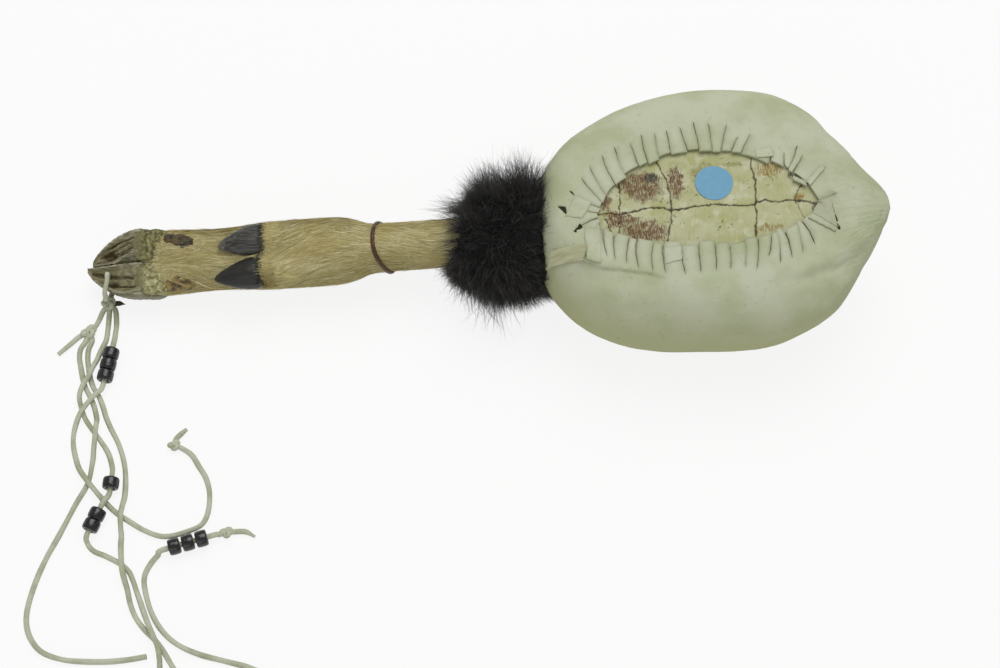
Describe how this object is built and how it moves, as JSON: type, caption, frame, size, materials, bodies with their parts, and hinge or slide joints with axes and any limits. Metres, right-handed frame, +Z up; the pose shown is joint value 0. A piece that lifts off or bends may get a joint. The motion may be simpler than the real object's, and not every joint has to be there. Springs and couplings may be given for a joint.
{
  "type": "turtle shell rattle",
  "caption": "Turtle shell rattle: a pebble-filled shell in a slashed hide cover on a deer-leg handle with hooves, a fur collar and a beaded thong.",
  "frame": {"origin": "centre of the flat crown of the covered shell that the rattle lies on", "axes": "+X from the hooves to the tail of the shell, +Z up out of the plastron, the rattle lying on its crown and hooves"},
  "size_m": [0.4384, 0.3311, 0.0739],
  "materials": {
    "hide_cover": "matte",
    "straw_strap": "matte",
    "shell_bone": "satin",
    "blue_paper": "matte",
    "leg_hair": "matte",
    "leg_bone": "matte",
    "black_fur": "matte",
    "brown_band": "satin",
    "hoof_horn": "satin",
    "heel_pad": "matte",
    "pale_lace": "matte",
    "black_bead": "gloss",
    "pebble_stone": "matte"
  },
  "bodies": {
    "rattle": {"leather_cover": "hide_cover", "strap_end": "straw_strap", "carapace": "shell_bone", "plastron": "shell_bone", "round_sticker": "blue_paper", "leg_hide": "leg_hair", "cannon_bone": "leg_bone", "fur_collar": "black_fur", "leg_band": "brown_band", "hoof_upper": "hoof_horn", "hoof_lower": "hoof_horn", "heel_pad_upper": "heel_pad", "heel_pad_lower": "heel_pad", "dewclaw_upper": "hoof_horn", "dewclaw_lower": "hoof_horn", "thong_loop": "pale_lace", "thong_knot_1": "pale_lace", "thong_tail_1": "pale_lace"},
    "thong": {"thong_lead": "pale_lace", "thong_knot_2": "pale_lace", "thong_tail_2": "pale_lace", "strand_1": "pale_lace", "strand_2": "pale_lace", "strand_3": "pale_lace", "strand_4": "pale_lace", "end_knot_1": "pale_lace", "end_tail_1": "pale_lace", "end_knot_4": "pale_lace", "end_tail_4": "pale_lace"},
    "beads_a": {"bead_a_1": "black_bead", "bead_a_2": "black_bead", "bead_a_3": "black_bead"},
    "beads_b": {"bead_b_1": "black_bead"},
    "beads_c": {"bead_c_1": "black_bead", "bead_c_2": "black_bead"},
    "beads_d": {"bead_d_1": "black_bead", "bead_d_2": "black_bead", "bead_d_3": "black_bead"},
    "pebble_1": {"pebble_1": "pebble_stone"},
    "pebble_2": {"pebble_2": "pebble_stone"},
    "pebble_3": {"pebble_3": "pebble_stone"},
    "pebble_4": {"pebble_4": "pebble_stone"},
    "pebble_5": {"pebble_5": "pebble_stone"},
    "pebble_6": {"pebble_6": "pebble_stone"},
    "pebble_7": {"pebble_7": "pebble_stone"},
    "pebble_8": {"pebble_8": "pebble_stone"}
  },
  "joints": [
    {"name": "thong_swing", "type": "hinge", "parent": "rattle", "child": "thong", "pos_m": [-0.31851, -0.02886, 0.0041], "axis": [0, 0, 1], "range_deg": [-15, 15]},
    {"name": "beads_a_slide", "type": "slide", "parent": "thong", "child": "beads_a", "axis": [-0.1588, -0.9873, 0], "range_m": [-0.002, 0.002]},
    {"name": "beads_b_slide", "type": "slide", "parent": "thong", "child": "beads_b", "axis": [-0.0587, -0.9983, 0], "range_m": [-0.0018, 0.0018]},
    {"name": "beads_c_slide", "type": "slide", "parent": "thong", "child": "beads_c", "axis": [-0.3714, -0.9285, 0], "range_m": [0, 0.0018]},
    {"name": "beads_d_slide", "type": "slide", "parent": "thong", "child": "beads_d", "axis": [0.9559, 0.2938, 0], "range_m": [-0.0024, 0.0024]},
    {"name": "pebble_1_bounce", "type": "slide", "parent": "rattle", "child": "pebble_1", "axis": [0, 0, 1], "range_m": [0, 0.054]},
    {"name": "pebble_2_bounce", "type": "slide", "parent": "rattle", "child": "pebble_2", "axis": [0, 0, 1], "range_m": [0, 0.054]},
    {"name": "pebble_3_bounce", "type": "slide", "parent": "rattle", "child": "pebble_3", "axis": [0, 0, 1], "range_m": [0, 0.054]},
    {"name": "pebble_4_bounce", "type": "slide", "parent": "rattle", "child": "pebble_4", "axis": [0, 0, 1], "range_m": [0, 0.054]},
    {"name": "pebble_5_bounce", "type": "slide", "parent": "rattle", "child": "pebble_5", "axis": [0, 0, 1], "range_m": [0, 0.054]},
    {"name": "pebble_6_bounce", "type": "slide", "parent": "rattle", "child": "pebble_6", "axis": [0, 0, 1], "range_m": [0, 0.054]},
    {"name": "pebble_7_bounce", "type": "slide", "parent": "rattle", "child": "pebble_7", "axis": [0, 0, 1], "range_m": [0, 0.054]},
    {"name": "pebble_8_bounce", "type": "slide", "parent": "rattle", "child": "pebble_8", "axis": [0, 0, 1], "range_m": [0, 0.054]}
  ]
}
